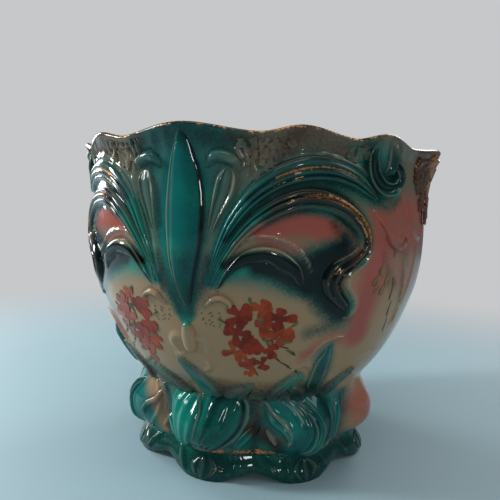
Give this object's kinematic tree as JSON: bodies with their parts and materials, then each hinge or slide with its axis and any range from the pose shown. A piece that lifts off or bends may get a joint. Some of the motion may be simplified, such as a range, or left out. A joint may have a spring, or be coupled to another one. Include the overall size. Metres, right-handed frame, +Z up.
{
  "type": "jardiniere on stand",
  "caption": "Round glazed earthenware jardiniere with a scalloped lip and raised leaf and plume ornament, on a low lobed stand.",
  "frame": {"origin": "on the table, at the middle of the stand", "axes": "+Z up, -Y out of the front lance leaf, +X to the right seen from the front, out of one gilded cascade"},
  "size_m": [0.2538, 0.2526, 0.2115],
  "materials": {
    "cream_glaze": "gloss glaze over an airbrushed cream, teal and dusty pink ground",
    "teal_glaze": "gloss glaze over airbrushed teal green",
    "gilt_brown_glaze": "gloss glaze over brown, sponged with gold",
    "pink_glaze": "gloss glaze over dusty pink"
  },
  "bodies": {
    "root": {"bowl": "cream_glaze", "cascade_left": "gilt_brown_glaze", "cascade_right": "gilt_brown_glaze", "clasp_leaf_back_left": "teal_glaze", "clasp_leaf_back_right": "teal_glaze", "clasp_leaf_front_left": "teal_glaze", "clasp_leaf_front_right": "teal_glaze", "drooping_leaf_back_left": "teal_glaze", "drooping_leaf_back_right": "teal_glaze", "drooping_leaf_front_left": "teal_glaze", "drooping_leaf_front_right": "teal_glaze", "foot_shells": "teal_glaze", "hooded_bud_back_left": "teal_glaze", "hooded_bud_back_right": "teal_glaze", "hooded_bud_front_left": "teal_glaze", "hooded_bud_front_right": "teal_glaze", "lance_leaf_back": "teal_glaze", "lance_leaf_front": "teal_glaze", "leaflet_back_left": "teal_glaze", "leaflet_back_right": "teal_glaze", "leaflet_front_left": "teal_glaze", "leaflet_front_right": "teal_glaze", "lower_plume_back_left": "teal_glaze", "lower_plume_back_right": "teal_glaze", "lower_plume_front_left": "teal_glaze", "lower_plume_front_right": "teal_glaze", "palmette_back": "teal_glaze", "palmette_front": "teal_glaze", "pendant_bud_back": "pink_glaze", "pendant_bud_front": "pink_glaze", "rim_fringe_back_left": "gilt_brown_glaze", "rim_fringe_back_right": "gilt_brown_glaze", "rim_fringe_front_left": "gilt_brown_glaze", "rim_fringe_front_right": "gilt_brown_glaze", "rim_scroll_back_left": "teal_glaze", "rim_scroll_back_right": "teal_glaze", "rim_scroll_front_left": "teal_glaze", "rim_scroll_front_right": "teal_glaze", "root_curl_back_left": "teal_glaze", "root_curl_back_right": "teal_glaze", "root_curl_front_left": "teal_glaze", "root_curl_front_right": "teal_glaze", "side_ribbon_back_left": "pink_glaze", "side_ribbon_back_right": "pink_glaze", "side_ribbon_front_left": "pink_glaze", "side_ribbon_front_right": "pink_glaze", "spike_leaf_back_left": "teal_glaze", "spike_leaf_back_right": "teal_glaze", "spike_leaf_front_left": "teal_glaze", "spike_leaf_front_right": "teal_glaze", "stand": "teal_glaze", "stand_scroll_back_left": "teal_glaze", "stand_scroll_back_right": "teal_glaze", "stand_scroll_front_left": "teal_glaze", "stand_scroll_front_right": "teal_glaze", "upper_plume_back_left": "teal_glaze", "upper_plume_back_right": "teal_glaze", "upper_plume_front_left": "teal_glaze", "upper_plume_front_right": "teal_glaze"}
  },
  "joints": []
}
